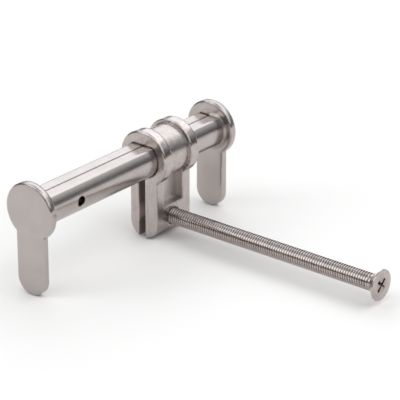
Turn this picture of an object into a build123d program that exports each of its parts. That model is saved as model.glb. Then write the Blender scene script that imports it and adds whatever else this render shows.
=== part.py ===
from build123d import *
import os

os.makedirs("parts", exist_ok=True)

# Adjustable blank cylinder for a euro-profile lock, with its fixing screw. Millimetres.
# X runs along the rods, -Y along the fixing screw towards its head, and Z is up.
# The origin is on the rods' common axis, in the middle of the clamp.

# Euro profile: nominally 17 round, 10 wide and 33 high, a little less so that it enters a lock
profile_d = 16.6
leg_width = 9.8
profile_height = 33.0

# Where the two ends stand, from the fixing screw's axis to each outer face
near_reach = 55.1
far_reach = 24.8
tip_gap = 0.4  # between each rod's tip and the opposite end plate

# End plates
plate_thickness = 2.3
plate_edge_r = 0.45  # round the outer face
plate_chamfer = 0.3  # round the inner face
collar_width = 0.7  # half collar round the rod's root
collar_height = 0.6
collar_chamfer = 0.3
seat_depth = 1.2  # how far the rod is let into the plate
seat_clearance = 0.02

# Half rods: together they make a round bar with a flat on top
rod_d = 11.0
rod_flat_height = 4.1  # of the flat, above the axis
rod_edge_r = 0.8  # between the flat and the round side
parting_gap = 0.3  # between the two rods
parting_edge_r = 0.2
tip_chamfer = 0.18
stop_hole_d = 3.0
stop_hole_from_tip = 12.6
stop_hole_drop = 0.5  # below the axis

# Clamp: two split rings on a pair of legs
clamp_length = 15.4
clamp_chamfer = 0.35
groove_width = 8.3  # the waist between the two rings, and the recess below it
groove_depth = 1.1
groove_chamfer = 0.2  # along the rings' inner edges and round the recess
recess_wall = 1.0  # left between the recess and the slot
recess_rim = 1.2  # left between the recess and the screw hole
recess_fillet_r = 1.0
bore_clearance = 0.1
bore_chamfer = 0.25
slot_width = 2.5
slot_offset = 0.45  # of the slot's middle, towards +Y

# Fixing screw: M5, countersunk, with a cross recess
screw_rise = 5.8  # of its axis, above the foot of the legs
screw_length = 85.0
screw_overhang = 2.7  # past the rear leg
screw_d = 4.9
screw_end_chamfer = 0.6
head_d = 9.0
head_rim = 0.3
cross_span = 4.4
cross_width = 1.0
cross_depth = 1.7
cross_taper = 8.0
cross_turn = 45.0
front_hole_d = 5.4
thread_clearance = 0.05

# Worked out from the sizes above
leg_half = leg_width / 2
leg_arc_drop = profile_height - profile_d / 2 - leg_half
screw_drop = profile_height - profile_d / 2 - screw_rise
waist_r = profile_d / 2 - groove_depth
rod_length = near_reach + far_reach - 2 * plate_thickness - tip_gap + seat_depth
seat_floor = plate_thickness - seat_depth
head_face_y = leg_half + screw_overhang - screw_length
head_height = head_rim + (head_d - screw_d) / 2
past = profile_height  # a length that cuts right through
groove_reach = groove_width / 2 + 0.01  # from the middle to just past the groove's sides

# Each end has its own plane: at its outer face, with local X to its rod's side and local Z inwards.
# The two ends are alike, and one is the other turned half a turn about Z.
near_plane = Plane(origin=(-near_reach, 0, 0), x_dir=(0, 1, 0), z_dir=(1, 0, 0))
far_plane = Plane(origin=(far_reach, 0, 0), x_dir=(0, -1, 0), z_dir=(-1, 0, 0))

with BuildSketch() as euro_profile:
    Circle(profile_d / 2)
    with Locations((0, -leg_arc_drop / 2)):
        Rectangle(leg_width, leg_arc_drop)
    with Locations((0, -leg_arc_drop)):
        Circle(leg_half)

with BuildSketch() as bar_section:
    Circle(rod_d / 2)
    with Locations((0, rod_flat_height)):
        Rectangle(rod_d, rod_d, align=(Align.CENTER, Align.MIN), mode=Mode.SUBTRACT)
    fillet(bar_section.vertices().group_by(Axis.Y)[-1], rod_edge_r)

with BuildSketch() as half_section:
    add(bar_section.sketch)
    with Locations((parting_gap / 2, 0)):
        Rectangle(rod_d, 2 * rod_d, align=(Align.MAX, Align.CENTER), mode=Mode.SUBTRACT)
    fillet(half_section.vertices().group_by(Axis.X)[0], parting_edge_r)

with BuildSketch() as seat_section:
    add(half_section.sketch)
    offset(amount=seat_clearance)

with BuildSketch() as collar_section:
    add(bar_section.sketch)
    offset(amount=collar_width)
    with Locations((parting_gap / 2, 0)):
        Rectangle(2 * rod_d, 2 * rod_d, align=(Align.MAX, Align.CENTER), mode=Mode.SUBTRACT)


def build_end_plate(name, end_plane):
    # The euro profile, with a half collar and a seat for the rod that it carries
    inwards = Axis(end_plane.origin, end_plane.z_dir)
    with BuildPart() as plate:
        with BuildSketch(end_plane):
            add(euro_profile.sketch)
        extrude(amount=plate_thickness)
        fillet(plate.faces().sort_by(inwards)[0].edges(), plate_edge_r)
        chamfer(plate.faces().sort_by(inwards)[-1].edges(), plate_chamfer)
        with BuildSketch(end_plane.offset(plate_thickness)):
            add(collar_section.sketch)
        extrude(amount=collar_height)
        collar_rim = plate.faces().sort_by(inwards)[-1].edges().filter_by(Axis.Z, reverse=True)
        chamfer(collar_rim, collar_chamfer)
        with BuildSketch(end_plane.offset(seat_floor)):
            add(seat_section.sketch)
        extrude(amount=past, mode=Mode.SUBTRACT)
    plate.part.label = name
    export_step(plate.part, f"parts/{name}.step")
    return plate.part


def build_half_rod(name, end_plane):
    # A half-round bar, let into its plate, with a cross hole near its tip
    inwards = Axis(end_plane.origin, end_plane.z_dir)
    hole_reach = seat_floor + rod_length - stop_hole_from_tip
    hole_centre = end_plane.from_local_coords((0, -stop_hole_drop, hole_reach))
    with BuildPart() as rod:
        with BuildSketch(end_plane.offset(seat_floor)):
            add(half_section.sketch)
        extrude(amount=rod_length)
        chamfer(rod.faces().sort_by(inwards)[-1].edges(), tip_chamfer)
        with BuildSketch(Plane(origin=hole_centre, x_dir=end_plane.z_dir, z_dir=end_plane.x_dir)):
            Circle(stop_hole_d / 2)
        extrude(amount=rod_d, mode=Mode.SUBTRACT)
    rod.part.label = name
    export_step(rod.part, f"parts/{name}.step")
    return rod.part


ends = {"near": near_plane, "far": far_plane}
pieces = []
for end_name, end_plane in ends.items():
    pieces.append(build_end_plate(f"{end_name}_end_plate", end_plane))
    pieces.append(build_half_rod(f"{end_name}_half_rod", end_plane))

# Clamp body
clamp_plane = Plane.YZ.offset(-clamp_length / 2)
groove_plane = Plane.YZ.offset(-groove_width / 2)
recess_drop = screw_drop - front_hole_d / 2 - recess_rim
recess_floor = slot_offset - slot_width / 2 - recess_wall

with BuildPart() as clamp_body:
    with BuildSketch(clamp_plane):
        add(euro_profile.sketch)
    extrude(amount=clamp_length)
    chamfer(clamp_body.faces().filter_by(Axis.X).edges(), clamp_chamfer)

    # The waist between the two rings, which leaves the legs whole but for a recess in the front one
    with BuildSketch(groove_plane) as groove:
        Circle(profile_d)
        Rectangle(leg_width, past, align=(Align.CENTER, Align.MAX), mode=Mode.SUBTRACT)
        with Locations((-leg_half, 0)):
            Rectangle(leg_half + recess_floor, recess_drop, align=(Align.MIN, Align.MAX))
        recess_corner = groove.vertices().sort_by_distance((recess_floor, -recess_drop))[0]
        fillet(recess_corner, recess_fillet_r)
        Circle(waist_r, mode=Mode.SUBTRACT)
    extrude(amount=groove_width, mode=Mode.SUBTRACT)
    groove_edges = clamp_body.edges().filter_by_position(Axis.X, -groove_reach, groove_reach)
    ring_edges = groove_edges.filter_by(GeomType.CIRCLE).group_by(SortBy.RADIUS)[-1]
    front_face = clamp_body.faces().filter_by(Axis.Y).sort_by(Axis.Y)[0]
    recess_edges = front_face.edges().filter_by_position(Axis.X, -groove_reach, groove_reach)
    chamfer(ring_edges + recess_edges.sort_by(Axis.Z)[1:], groove_chamfer)

    # The bore for both rods, and the slot that lets it close on them
    with BuildSketch(clamp_plane):
        add(bar_section.sketch)
        offset(amount=bore_clearance)
    extrude(amount=clamp_length, mode=Mode.SUBTRACT)
    ring_faces = clamp_body.faces().filter_by(Axis.X).group_by(Axis.X)
    mouths = ring_faces[0][0].inner_wires() + ring_faces[-1][0].inner_wires()
    chamfer(mouths.edges(), bore_chamfer)
    with BuildSketch(clamp_plane):
        with Locations((slot_offset, 0)):
            Rectangle(slot_width, past, align=(Align.CENTER, Align.MAX))
    extrude(amount=clamp_length, mode=Mode.SUBTRACT)

    # The fixing screw's way: clear in the front leg, tapped in the rear one
    with Locations(Plane(origin=(0, -leg_half, -screw_drop), z_dir=(0, -1, 0))):
        Hole(front_hole_d / 2, depth=leg_half + slot_offset)
    with Locations(Plane(origin=(0, leg_half, -screw_drop), z_dir=(0, 1, 0))):
        Hole(screw_d / 2 + thread_clearance, depth=leg_half - slot_offset)
clamp_body.part.label = "clamp_body"
export_step(clamp_body.part, "parts/clamp_body.step")
pieces.append(clamp_body.part)

# Fixing screw
screw_axis = Axis((0, 0, -screw_drop), (0, 1, 0))
head_plane = Plane(origin=(0, head_face_y, -screw_drop), x_dir=(1, 0, 0), z_dir=(0, 1, 0))
screw_end_y = head_face_y + screw_length

with BuildPart() as fixing_screw:
    with BuildSketch(Plane.XY.offset(-screw_drop)):
        with BuildLine():
            Polyline(
                (0, head_face_y),
                (head_d / 2, head_face_y),
                (head_d / 2, head_face_y + head_rim),
                (screw_d / 2, head_face_y + head_height),
                (screw_d / 2, screw_end_y - screw_end_chamfer),
                (screw_d / 2 - screw_end_chamfer, screw_end_y),
                (0, screw_end_y),
                close=True,
            )
        make_face()
    revolve(axis=screw_axis)
    with BuildSketch(head_plane):
        with Locations(Rotation(0, 0, cross_turn)):
            Rectangle(cross_span, cross_width)
            Rectangle(cross_width, cross_span)
    extrude(amount=cross_depth, taper=cross_taper, mode=Mode.SUBTRACT)
fixing_screw.part.label = "fixing_screw"
export_step(fixing_screw.part, "parts/fixing_screw.step")
pieces.append(fixing_screw.part)

for piece in pieces:
    print(f"{piece.label}: {len(piece.solids())} solid, {piece.volume:.0f} cubic mm")
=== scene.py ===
import bpy
import bmesh
import math
from mathutils import Matrix, Quaternion, Vector


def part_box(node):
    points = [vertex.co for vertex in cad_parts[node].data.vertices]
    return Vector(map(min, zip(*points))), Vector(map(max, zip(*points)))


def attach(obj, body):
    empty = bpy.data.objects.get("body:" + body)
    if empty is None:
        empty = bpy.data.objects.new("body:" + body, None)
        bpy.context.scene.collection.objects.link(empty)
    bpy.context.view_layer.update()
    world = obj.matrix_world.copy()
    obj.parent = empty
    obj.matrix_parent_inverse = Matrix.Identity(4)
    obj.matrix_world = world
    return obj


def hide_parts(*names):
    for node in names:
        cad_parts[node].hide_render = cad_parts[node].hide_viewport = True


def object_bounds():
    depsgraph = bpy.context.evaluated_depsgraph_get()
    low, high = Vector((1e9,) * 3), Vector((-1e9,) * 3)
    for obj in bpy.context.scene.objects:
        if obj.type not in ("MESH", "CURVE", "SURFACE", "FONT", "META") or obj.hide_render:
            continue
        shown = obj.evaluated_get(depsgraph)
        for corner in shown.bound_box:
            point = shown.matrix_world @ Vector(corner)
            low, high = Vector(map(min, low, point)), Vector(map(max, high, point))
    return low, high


# Adjustable blank cylinder for a euro-profile lock, with its fixing screw.
# X runs along the rods, -Y along the screw to its head, Z is up.
# Sizes in the dictionaries are in millimetres where no other unit is named.

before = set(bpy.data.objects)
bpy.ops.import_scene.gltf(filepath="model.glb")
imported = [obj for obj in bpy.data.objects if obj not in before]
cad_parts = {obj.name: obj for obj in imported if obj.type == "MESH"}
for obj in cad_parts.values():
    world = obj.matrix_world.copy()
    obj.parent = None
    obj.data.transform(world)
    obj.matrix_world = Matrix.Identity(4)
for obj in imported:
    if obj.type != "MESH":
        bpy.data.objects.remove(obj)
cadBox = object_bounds()

mm = 0.001
scene = bpy.context.scene
for leftover in ("Cube", "Light", "Camera"):
    if leftover in bpy.data.objects:
        bpy.data.objects.remove(bpy.data.objects[leftover])
print("frame loaded:", ", ".join(sorted(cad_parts)))


# Small helpers for node trees

def addNode(tree, kind, inputs=None, **settings):
    # a value is set on the socket, a socket is linked to it
    node = tree.nodes.new(kind)
    for name, value in settings.items():
        setattr(node, name, value)
    for name, value in (inputs or {}).items():
        if isinstance(value, bpy.types.NodeSocket):
            tree.links.new(value, node.inputs[name])
        else:
            node.inputs[name].default_value = value
    return node


def mathOf(tree, operation, first, second):
    return addNode(tree, "ShaderNodeMath", {0: first, 1: second}, operation=operation).outputs[0]


def vectorOf(tree, operation, *vectors):
    inputs = dict(enumerate(vectors))
    return addNode(tree, "ShaderNodeVectorMath", inputs, operation=operation).outputs[0]


def splitOf(tree, vector):
    return addNode(tree, "ShaderNodeSeparateXYZ", {0: vector}).outputs


def radiusOf(tree, across, up):
    # distance from an axis, given the two parts across it
    flat = addNode(tree, "ShaderNodeCombineXYZ", {0: across, 1: up}).outputs[0]
    return addNode(tree, "ShaderNodeVectorMath", {0: flat}, operation="LENGTH").outputs["Value"]


def rangeOf(tree, value, low, high, toLow, toHigh, **settings):
    inputs = {"Value": value, "From Min": low, "From Max": high, "To Min": toLow, "To Max": toHigh}
    return addNode(tree, "ShaderNodeMapRange", inputs, **settings).outputs["Result"]


def fade(tree, value, low, high, toLow=0.0, toHigh=1.0):
    # smooth step from low to high
    return rangeOf(tree, value, low, high, toLow, toHigh, interpolation_type="SMOOTHSTEP")


def fadeAt(tree, value, limits):
    # smooth step between two places, in millimetres
    low, high = limits
    return fade(tree, value, low * mm, high * mm)


def blendOf(tree, share, first, second):
    return addNode(tree, "ShaderNodeMix", {0: share, 2: first, 3: second}, data_type="FLOAT").outputs[0]


def mixColour(tree, share, first, second):
    return addNode(tree, "ShaderNodeMix", {0: share, 6: first, 7: second}, data_type="RGBA").outputs[2]


def colour(r, g, b):
    return (r, g, b, 1.0)


def noiseOf(tree, where, sizes, detail, roughness=0.55):
    # sizes are the width of one blotch along X, Y and Z
    scaled = vectorOf(tree, "MULTIPLY", where, [1.0 / (size * mm) for size in sizes])
    node = addNode(tree, "ShaderNodeTexNoise", {"Vector": scaled, "Scale": 1.0,
                   "Detail": detail, "Roughness": roughness})
    return node.outputs["Fac"]


def insideOf(tree, where, low, high):
    # 1 inside a box given by two corners
    middle = [(a + b) / 2 * mm for a, b in zip(low, high)]
    half = [(b - a) / 2 * mm for a, b in zip(low, high)]
    place = vectorOf(tree, "DIVIDE", vectorOf(tree, "SUBTRACT", where, middle), half)
    x, y, z = splitOf(tree, vectorOf(tree, "ABSOLUTE", place))
    return mathOf(tree, "LESS_THAN", mathOf(tree, "MAXIMUM", mathOf(tree, "MAXIMUM", x, y), z), 1.0)


def bumpOf(tree, height, depth, under):
    node = addNode(tree, "ShaderNodeBump", {"Height": height, "Distance": depth * mm, "Strength": 1.0,
                   "Normal": under})
    return node.outputs["Normal"]


def newMaterial(name):
    material = bpy.data.materials.new(name)
    material.use_nodes = True
    tree = material.node_tree
    tree.nodes.clear()
    shader = addNode(tree, "ShaderNodeBsdfPrincipled")
    addNode(tree, "ShaderNodeOutputMaterial", {"Surface": shader.outputs[0]})
    return material, tree, shader


# Camera, fitted to the photograph with the euro profile as the ruler

photoCamera = {
    "place": (-0.43349, -0.36266, 0.23626),     # metres
    "target": (-0.00339, -0.01740, -0.00936),
    "lens": 192.4, "sensor": 36.0,
    "roll": 0.09,                               # degrees
    "clip": (0.01, 30.0),                       # metres
}


def makeCamera(spec):
    data = bpy.data.cameras.new("photoCamera")
    data.lens, data.sensor_width = spec["lens"], spec["sensor"]
    data.clip_start, data.clip_end = spec["clip"]
    camera = bpy.data.objects.new("photoCamera", data)
    scene.collection.objects.link(camera)
    camera.location = spec["place"]
    aim = Vector(spec["target"]) - Vector(spec["place"])
    camera.rotation_mode = "QUATERNION"
    camera.rotation_quaternion = (aim.to_track_quat("-Z", "Y")
                                  @ Quaternion((0, 0, 1), math.radians(spec["roll"])))
    scene.camera = camera


makeCamera(photoCamera)
print("camera set")


# Studio: plain walls, then each light as (strength, way, spread), the later ones over the earlier ones.
# A way is (degrees round from +Y towards +X, degrees above the floor), a spread is degrees from that way,
# full strength inside the first and none outside the second.

studio = {
    "wall": 0.11, "wallTop": 0.95,  # strength low on the walls and high on them
    "wallRange": (0.12, 0.75),      # between these heights, where 1 is straight up
    "lights": (
        (2.1, (48, 82), (42, 54)),      # the soft box overhead, tilted to the rear right
        (0.35, (48, 82), (16, 32)),     # its dimmer middle
        (0.45, (-8, 58), (8, 22)),      # a gap in it
        (1.85, (46, 31), (8, 24)),      # the lit backdrop
        (0.05, (-30, 6), (18, 30)),     # the dark under the window
        (2.6, (-51, 32), (9, 19)),      # the window, to the rear left
        (2.0, (170, 32), (10, 24)),     # a small box to the front right
        (0.25, (-125, 34), (12, 24)),   # the dark behind the camera
    ),
    "lightTone": (0.965, 1.0, 1.025),
    "floorRadius": 5.0,             # metres
    "floorEdges": 96,
    "floorTone": (0.93, 0.896, 0.872), "floorRoughness": 0.9, "floorShine": 0.1,
    "floorGap": 0.02,               # under the lowest point
}


def spotOf(tree, way, towards, spread):
    # 1 near a way, fading to 0 outside the spread
    bearing, above = [math.radians(angle) for angle in towards]
    full, none = [math.cos(math.radians(angle)) for angle in spread]
    aim = (math.sin(bearing) * math.cos(above), math.cos(bearing) * math.cos(above), math.sin(above))
    node = addNode(tree, "ShaderNodeVectorMath", {0: way, 1: aim}, operation="DOT_PRODUCT")
    return fade(tree, node.outputs["Value"], none, full)


def makeWorld(spec):
    world = bpy.data.worlds.new("softStudio")
    scene.world = world
    world.use_nodes = True
    tree = world.node_tree
    tree.nodes.clear()
    way = addNode(tree, "ShaderNodeTexCoord").outputs["Generated"]
    height = splitOf(tree, way)[2]
    level = fade(tree, height, *spec["wallRange"], spec["wall"], spec["wallTop"])
    for strength, towards, spread in spec["lights"]:
        level = blendOf(tree, spotOf(tree, way, towards, spread), level, strength)
    light = addNode(tree, "ShaderNodeBackground", {"Color": colour(*spec["lightTone"]), "Strength": level})
    addNode(tree, "ShaderNodeOutputWorld", {"Surface": light.outputs[0]})


def makeFloor(spec, lowest):
    mesh = bpy.data.meshes.new("studioFloor")
    shape = bmesh.new()
    bmesh.ops.create_circle(shape, cap_ends=True, radius=spec["floorRadius"], segments=spec["floorEdges"])
    shape.to_mesh(mesh)
    shape.free()
    floor = bpy.data.objects.new("studioFloor", mesh)
    floor.location = (0, 0, lowest - spec["floorGap"] * mm)
    scene.collection.objects.link(floor)
    material, tree, shader = newMaterial("paleFloor")
    shader.inputs["Base Color"].default_value = colour(*spec["floorTone"])
    shader.inputs["Roughness"].default_value = spec["floorRoughness"]
    shader.inputs["Specular IOR Level"].default_value = spec["floorShine"]
    mesh.materials.append(material)


makeWorld(studio)
makeFloor(studio, cadBox[0].z)
scene.view_settings.view_transform = "Standard"
print("studio lit")


# Nickel, as it is on every piece

nickel = {
    # dark tone of the painted shade in the corners, and of the real marks on the clamp
    "shadeAndMarkTone": (0.17, 0.145, 0.135),
    "cloudRange": (0.30, 0.70),     # of the noise, from the dull tone to the pale one
    "wearRange": (0.25, 0.75),      # of the noise, from the smooth end to the rough one
    "cornerRange": (0.4, 0.8),      # of how open a place is, from full painted shade to none
    "rubbedRange": (0.02, 0.12),    # of an edge's lean, from untouched to rubbed
    "samples": 6,
}


def startMetal(name, finish):
    material, tree, shader = newMaterial(name)
    shader.inputs["Metallic"].default_value = 1.0
    where = addNode(tree, "ShaderNodeTexCoord").outputs["Object"]
    cloud = noiseOf(tree, where, [finish["cloud"]] * 3, detail=4.0, roughness=0.6)
    pale = fade(tree, cloud, *nickel["cloudRange"])
    tone = mixColour(tree, pale, colour(*finish["dull"]), colour(*finish["pale"]))
    return material, tree, shader, where, cloud, tone


# mixes towards that dark tone: painted shade in the corners, real marks on the clamp
def shadeAndMarkOver(tree, share, tone):
    return mixColour(tree, share, tone, colour(*nickel["shadeAndMarkTone"]))


def finishMetal(tree, shader, finish, where, tone, wear, relief=None, reliefDepth=1.0):
    # Rounds the edges, darkens the corners with painted shade, lays the bumps over each other and sets the
    # gloss by the wear.
    # A relief with no depth of its own is in millimetres.
    samples = nickel["samples"]
    rounded = addNode(tree, "ShaderNodeBevel", {"Radius": finish["edge"] * mm}, samples=samples).outputs[0]
    # painted shade: the tone darkens where a corner closes round the point
    corner = addNode(tree, "ShaderNodeAmbientOcclusion", {"Distance": finish["corner"] * mm},
                     samples=samples, only_local=True)
    paintedCornerShade = fade(tree, corner.outputs["AO"], *nickel["cornerRange"], finish["cornerShade"], 0.0)
    tone = shadeAndMarkOver(tree, paintedCornerShade, tone)
    swell = noiseOf(tree, where, finish["swell"], detail=2.0)
    grain = noiseOf(tree, where, [finish["grain"]] * 3, detail=2.0)
    normal = bumpOf(tree, swell, finish["swellDepth"], rounded)
    normal = bumpOf(tree, grain, finish["grainDepth"], normal)
    if relief:
        normal = bumpOf(tree, relief, reliefDepth, normal)
    rough = rangeOf(tree, wear, *nickel["wearRange"], *finish["roughness"])
    if "edgeRoughness" in finish:
        # every edge here is round an X face, so its normal leans a little along X
        along = splitOf(tree, rounded)[0]
        lean = mathOf(tree, "MULTIPLY", along, along)
        lean = mathOf(tree, "MULTIPLY", lean, mathOf(tree, "SUBTRACT", 1.0, lean))
        rubbed = fade(tree, lean, *nickel["rubbedRange"])
        rough = blendOf(tree, rubbed, rough, finish["edgeRoughness"])
    tree.links.new(tone, shader.inputs["Base Color"])
    tree.links.new(rough, shader.inputs["Roughness"])
    tree.links.new(normal, shader.inputs["Normal"])
    return rough


def dress(names, material):
    for name in names:
        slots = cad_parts[name].data.materials
        slots.clear()
        slots.append(material)


# End plates: smooth and plated, with rubbed edges

plateFinish = {
    "pale": (0.480, 0.432, 0.413), "dull": (0.442, 0.396, 0.376),
    "cloud": 5.0,                                       # size of the tonal patches
    "roughness": (0.19, 0.27),
    "swell": (3.5, 3.5, 3.5), "swellDepth": 0.012,      # slow unevenness, which bends the reflections
    "grain": 0.16, "grainDepth": 0.003,                 # fine unevenness, which only blurs them
    "edge": 1.1, "edgeRoughness": 0.05,                 # how far the edges are rounded, and rubbed bright
    "cornerShade": 0.5, "corner": 0.8,                        # painted shade in the inner corners, and how far out of them
}


def platedNickel(finish):
    material, tree, shader, where, cloud, tone = startMetal("platedNickel", finish)
    finishMetal(tree, shader, finish, where, tone, cloud)
    return material


dress(("near_end_plate", "far_end_plate"), platedNickel(plateFinish))
print("end plates plated")


# Half rods: drawn lengthwise

rodFinish = {
    "pale": (0.505, 0.457, 0.440), "dull": (0.458, 0.412, 0.395),
    "cloud": 6.0,
    "roughness": (0.19, 0.28),
    "swell": (14.0, 1.6, 1.6), "swellDepth": 0.012,
    "grain": 0.15, "grainDepth": 0.0015,
    "drawing": (22.0, 0.26, 0.26), "drawingDepth": 0.009,   # lines along the bar
    "lineRange": (0.3, 0.7), "lineShare": 0.35,             # how far the lines dull the tone
    "edge": 0.5,
    # painted shade in the inner corners, and how far out of them
    "cornerShade": 0.3, "corner": 0.8,
}


def drawnNickel(finish):
    material, tree, shader, where, _, tone = startMetal("drawnNickel", finish)
    lines = noiseOf(tree, where, finish["drawing"], detail=3.0)
    dulled = rangeOf(tree, lines, *finish["lineRange"], 0.0, finish["lineShare"])
    tone = mixColour(tree, dulled, tone, colour(*finish["dull"]))
    finishMetal(tree, shader, finish, where, tone, lines, lines, finish["drawingDepth"])
    return material


dress(("near_half_rod", "far_half_rod"), drawnNickel(rodFinish))
print("half rods drawn")


# Clamp: turned above, milled legs, a sawn slot and a cast recess, both left raw

clampFinish = {
    "pale": (0.555, 0.500, 0.478), "dull": (0.500, 0.447, 0.425),
    "cloud": 4.0,
    "roughness": (0.24, 0.32),
    "ringRoughness": 0.17, "ringFrom": (7.5, 7.9),          # the rings are smoother, beyond this radius
    "swell": (1.8, 1.8, 1.8), "swellDepth": 0.07,
    "grain": 0.25, "grainDepth": 0.006,
    "turnedFrom": (-7.2, -6.4),                             # turned above this height, milled below it
    "turning": 0.22, "milling": (0.45, 0.45, 9.0),          # width of the lathe lines and the milled ones
    "lineDepth": 0.002,
    "patch": 1.1, "patchDepth": 0.02, "recessPatch": 5.0,   # cast unevenness, and times this in the recess
    "markRange": (0.35, 0.65), "markShare": 0.18,           # how far the marks darken the tone
    "edge": 0.75, "edgeRoughness": 0.06,
    # painted shade in the inner corners, and how far out of them
    "cornerShade": 0.65, "corner": 1.1,
    "slot": ((-8, -0.83, -25), (8, 1.73, -5)),              # two corners of a box round its walls
    "slotTone": (0.513, 0.447, 0.431), "slotRoughness": 0.6,
    "slotLightTone": (0.95, 0.83, 0.78),                         # painted light falling into the slot, halfway down
    "slotLightFrom": (-20.2, -18.0), "slotLightTo": (-17.0, -12.8),
    "recess": ((-4.4, -4.8, -15.2), (4.4, -1.6, -5)),       # the same for the recess
    "recessTone": (0.61, 0.56, 0.54), "recessRoughness": 0.42,
}


def turnedNickel(finish):
    material, tree, shader, where, cloud, tone = startMetal("turnedNickel", finish)
    x, y, z = splitOf(tree, where)
    radius = radiusOf(tree, y, z)
    turned = fadeAt(tree, z, finish["turnedFrom"])
    inSlot = insideOf(tree, where, *finish["slot"])
    inRecess = insideOf(tree, where, *finish["recess"])

    # lathe lines, milled lines and cast unevenness
    lathe = addNode(tree, "ShaderNodeCombineXYZ", {0: x, 1: radius}).outputs[0]
    lines = noiseOf(tree, lathe, [finish["turning"]] * 3, detail=2.0)
    milled = noiseOf(tree, where, finish["milling"], detail=2.0)
    patches = noiseOf(tree, where, [finish["patch"]] * 3, detail=3.0, roughness=0.6)
    fine = mathOf(tree, "MULTIPLY", blendOf(tree, turned, milled, lines), finish["lineDepth"])
    cast = mathOf(tree, "MAXIMUM", turned, mathOf(tree, "MULTIPLY", inRecess, finish["recessPatch"]))
    uneven = mathOf(tree, "MULTIPLY", mathOf(tree, "MULTIPLY", patches, finish["patchDepth"]), cast)
    relief = mathOf(tree, "ADD", uneven, fine)

    # tones, with the slot and the recess over the rest
    marks = blendOf(tree, turned, milled, patches)
    tone = shadeAndMarkOver(tree, rangeOf(tree, marks, *finish["markRange"], finish["markShare"], 0.0), tone)
    # painted light in the slot: a paler, browner band halfway down
    paintedSlotLight = mathOf(tree, "SUBTRACT", fadeAt(tree, z, finish["slotLightFrom"]),
                     fadeAt(tree, z, finish["slotLightTo"]))
    slotTone = mixColour(tree, paintedSlotLight, colour(*finish["slotTone"]), colour(*finish["slotLightTone"]))
    tone = mixColour(tree, inSlot, tone, slotTone)
    tone = mixColour(tree, inRecess, tone, colour(*finish["recessTone"]))

    rough = finishMetal(tree, shader, finish, where, tone, cloud, relief)
    onRing = mathOf(tree, "MULTIPLY", turned, fadeAt(tree, radius, finish["ringFrom"]))
    rough = mathOf(tree, "MINIMUM", rough, blendOf(tree, onRing, 1.0, finish["ringRoughness"]))
    rough = blendOf(tree, inSlot, rough, finish["slotRoughness"])
    rough = blendOf(tree, inRecess, rough, finish["recessRoughness"])
    tree.links.new(rough, shader.inputs["Roughness"])
    return material


dress(("clamp_body",), turnedNickel(clampFinish))
print("clamp turned and milled")


# Fixing screw: cut thread, countersunk head and cross recess

fixingScrew = {
    "axisZ": -18.9,         # height of its axis
    "pitch": 0.8,
    "crest": 2.45, "root": 2.14,
    "profile": ((0.0, 0), (0.26, 0), (0.48, 1), (0.76, 1)),   # share of the pitch, share of the depth
    "around": 48,           # points round the thread
    "neck": 0.5,            # plain length under the head
    "runOut": 0.8,          # where the thread fades into the neck
    "tipR": 1.9,            # at the end of the chamfer
    "headHeight": 2.35,
    "head": ((2.6, 2.45), (2.4, 2.49), (2.15, 2.65), (0.35, 4.44),   # distance from the face, radius
             (0.3, 4.5), (0.1, 4.5), (0.03, 4.47), (0.0, 4.4)),
    "crossSpan": 4.4, "crossWidth": 0.95, "crossTurn": 45.0,
    "crossLevels": ((-0.3, 1.06, 1.06), (0.0, 1.0, 1.0), (1.8, 0.46, 0.55)),   # depth, shares of both
    "weld": 0.002,          # points nearer than this become one
    "sharp": 32.0,          # degrees, from which an edge stays sharp
}

screwFinish = {
    "pale": (0.515, 0.458, 0.434), "dull": (0.425, 0.373, 0.350),
    "cloud": 2.2,
    "roughness": (0.17, 0.27),
    "swell": (2.0, 2.0, 2.0), "swellDepth": 0.004,
    "grain": 0.12, "grainDepth": 0.003,
    "edge": 0.06,
    "cornerShade": 0.0, "corner": 0.8,
    "rootShadeTone": (0.27, 0.235, 0.22), "rootShadeShare": 0.4,   # painted shade between the threads
    "rootShadeRise": 0.2,                                     # and how far up it reaches
}


def screwNickel(finish, spec):
    material, tree, shader, where, cloud, tone = startMetal("screwNickel", finish)
    x, y, z = splitOf(tree, vectorOf(tree, "ADD", where, (0, 0, -spec["axisZ"] * mm)))
    root, clean = spec["root"] * mm, (spec["root"] + finish["rootShadeRise"]) * mm
    # painted shade at the thread roots, fading out towards the crests
    rootShade = fade(tree, radiusOf(tree, x, z), root, clean, finish["rootShadeShare"], 0.0)
    tone = mixColour(tree, rootShade, tone, colour(*finish["rootShadeTone"]))
    finishMetal(tree, shader, finish, where, tone, cloud)
    return material


def pointOf(shape, spec, step, y, radius):
    # a point of the screw, so many steps round its axis
    angle = 2 * math.pi * step / spec["around"]
    return shape.verts.new((radius * math.sin(angle) * mm, y * mm,
                            (spec["axisZ"] + radius * math.cos(angle)) * mm))


def joinRings(shape, first, second):
    for step in range(len(first)):
        after = (step + 1) % len(first)
        shape.faces.new((first[step], first[after], second[after], second[step]))


def addThread(shape, spec, neckY, tipY):
    # each row is one turn of the helix, and joins the row a turn further on
    around, profile = spec["around"], spec["profile"]
    rows = []
    for turn in range(-1, int((tipY - neckY) / spec["pitch"]) + 2):
        for share, depth in profile:
            row = []
            for step in range(around):
                y = neckY + (turn + share + step / around) * spec["pitch"]
                cut = min(1.0, max(0.0, y - neckY) / spec["runOut"])
                y = min(max(y, neckY), tipY)
                radius = spec["crest"] - (spec["crest"] - spec["root"]) * depth * cut
                radius = min(radius, spec["tipR"] + (tipY - y))
                row.append(pointOf(shape, spec, step, y, radius))
            rows.append(row)
    for index, row in enumerate(rows[:-1]):
        above = rows[index + 1]
        for step in range(around - 1):
            shape.faces.new((row[step], above[step], above[step + 1], row[step + 1]))
        ahead = index + len(profile)
        if ahead + 1 < len(rows):
            shape.faces.new((row[-1], above[-1], rows[ahead + 1][0], rows[ahead][0]))
    shape.faces.new(rows[-1])
    return rows[0]


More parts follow.
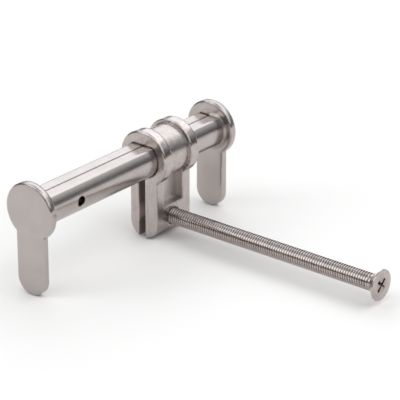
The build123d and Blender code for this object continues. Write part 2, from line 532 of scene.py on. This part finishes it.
def addHead(shape, spec, faceY, neckRing):
    # neck and head, from the thread's first row to the face
    ring = neckRing
    for distance, radius in spec["head"]:
        previous, ring = ring, [pointOf(shape, spec, step, faceY + distance, radius)
                                for step in range(spec["around"])]
        joinRings(shape, previous, ring)
    shape.faces.new(ring)


def makeCross(spec, faceY):
    # the tapered cross that cuts the recess
    mesh = bpy.data.meshes.new("crossCutter")
    shape = bmesh.new()
    levels = []
    for depth, spanShare, widthShare in spec["crossLevels"]:
        wing, half = spec["crossSpan"] / 2 * spanShare, spec["crossWidth"] / 2 * widthShare
        outline = [(wing, -half), (wing, half), (half, half), (half, wing),
                   (-half, wing), (-half, half), (-wing, half), (-wing, -half),
                   (-half, -half), (-half, -wing), (half, -wing), (half, -half)]
        levels.append([shape.verts.new((a * mm, depth * mm, b * mm)) for a, b in outline])
    for outer, inner in zip(levels, levels[1:]):
        joinRings(shape, outer, inner)
    shape.faces.new(levels[0])
    shape.faces.new(levels[-1])
    bmesh.ops.recalc_face_normals(shape, faces=shape.faces)
    shape.to_mesh(mesh)
    shape.free()
    cross = bpy.data.objects.new("crossCutter", mesh)
    scene.collection.objects.link(cross)
    turn = Matrix.Rotation(math.radians(spec["crossTurn"]), 4, "Y")
    cross.matrix_world = Matrix.Translation((0, faceY * mm, spec["axisZ"] * mm)) @ turn
    return cross


def cutAway(piece, tool):
    # the boolean's result becomes the piece's mesh, and the tool goes
    cut = piece.modifiers.new("cutAway", "BOOLEAN")
    cut.operation, cut.solver, cut.object = "DIFFERENCE", "EXACT", tool
    bpy.context.view_layer.update()
    result = bpy.data.meshes.new_from_object(piece.evaluated_get(bpy.context.evaluated_depsgraph_get()))
    piece.modifiers.clear()
    whole, spent, name = piece.data, tool.data, piece.data.name
    piece.data = result
    bpy.data.objects.remove(tool)
    bpy.data.meshes.remove(spent)
    bpy.data.meshes.remove(whole)
    result.name = name


def makeScrew(spec, finish):
    low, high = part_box("fixing_screw")
    faceY, tipY = low.y / mm, high.y / mm
    shape = bmesh.new()
    neckRing = addThread(shape, spec, faceY + spec["headHeight"] + spec["neck"], tipY)
    addHead(shape, spec, faceY, neckRing)
    bmesh.ops.remove_doubles(shape, verts=shape.verts, dist=spec["weld"] * mm)
    bmesh.ops.recalc_face_normals(shape, faces=shape.faces)
    mesh = bpy.data.meshes.new("threaded_fixing_screw")
    shape.to_mesh(mesh)
    shape.free()
    screw = bpy.data.objects.new("threaded_fixing_screw", mesh)
    scene.collection.objects.link(screw)
    cutAway(screw, makeCross(spec, faceY))

    screw.data.materials.clear()
    screw.data.materials.append(screwNickel(finish, spec))
    screw.data.polygons.foreach_set("use_smooth", [True] * len(screw.data.polygons))
    screw.data.set_sharp_from_angle(angle=math.radians(spec["sharp"]))
    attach(screw, "screw")
    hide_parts("fixing_screw")


makeScrew(fixingScrew, screwFinish)
print("fixing screw threaded")
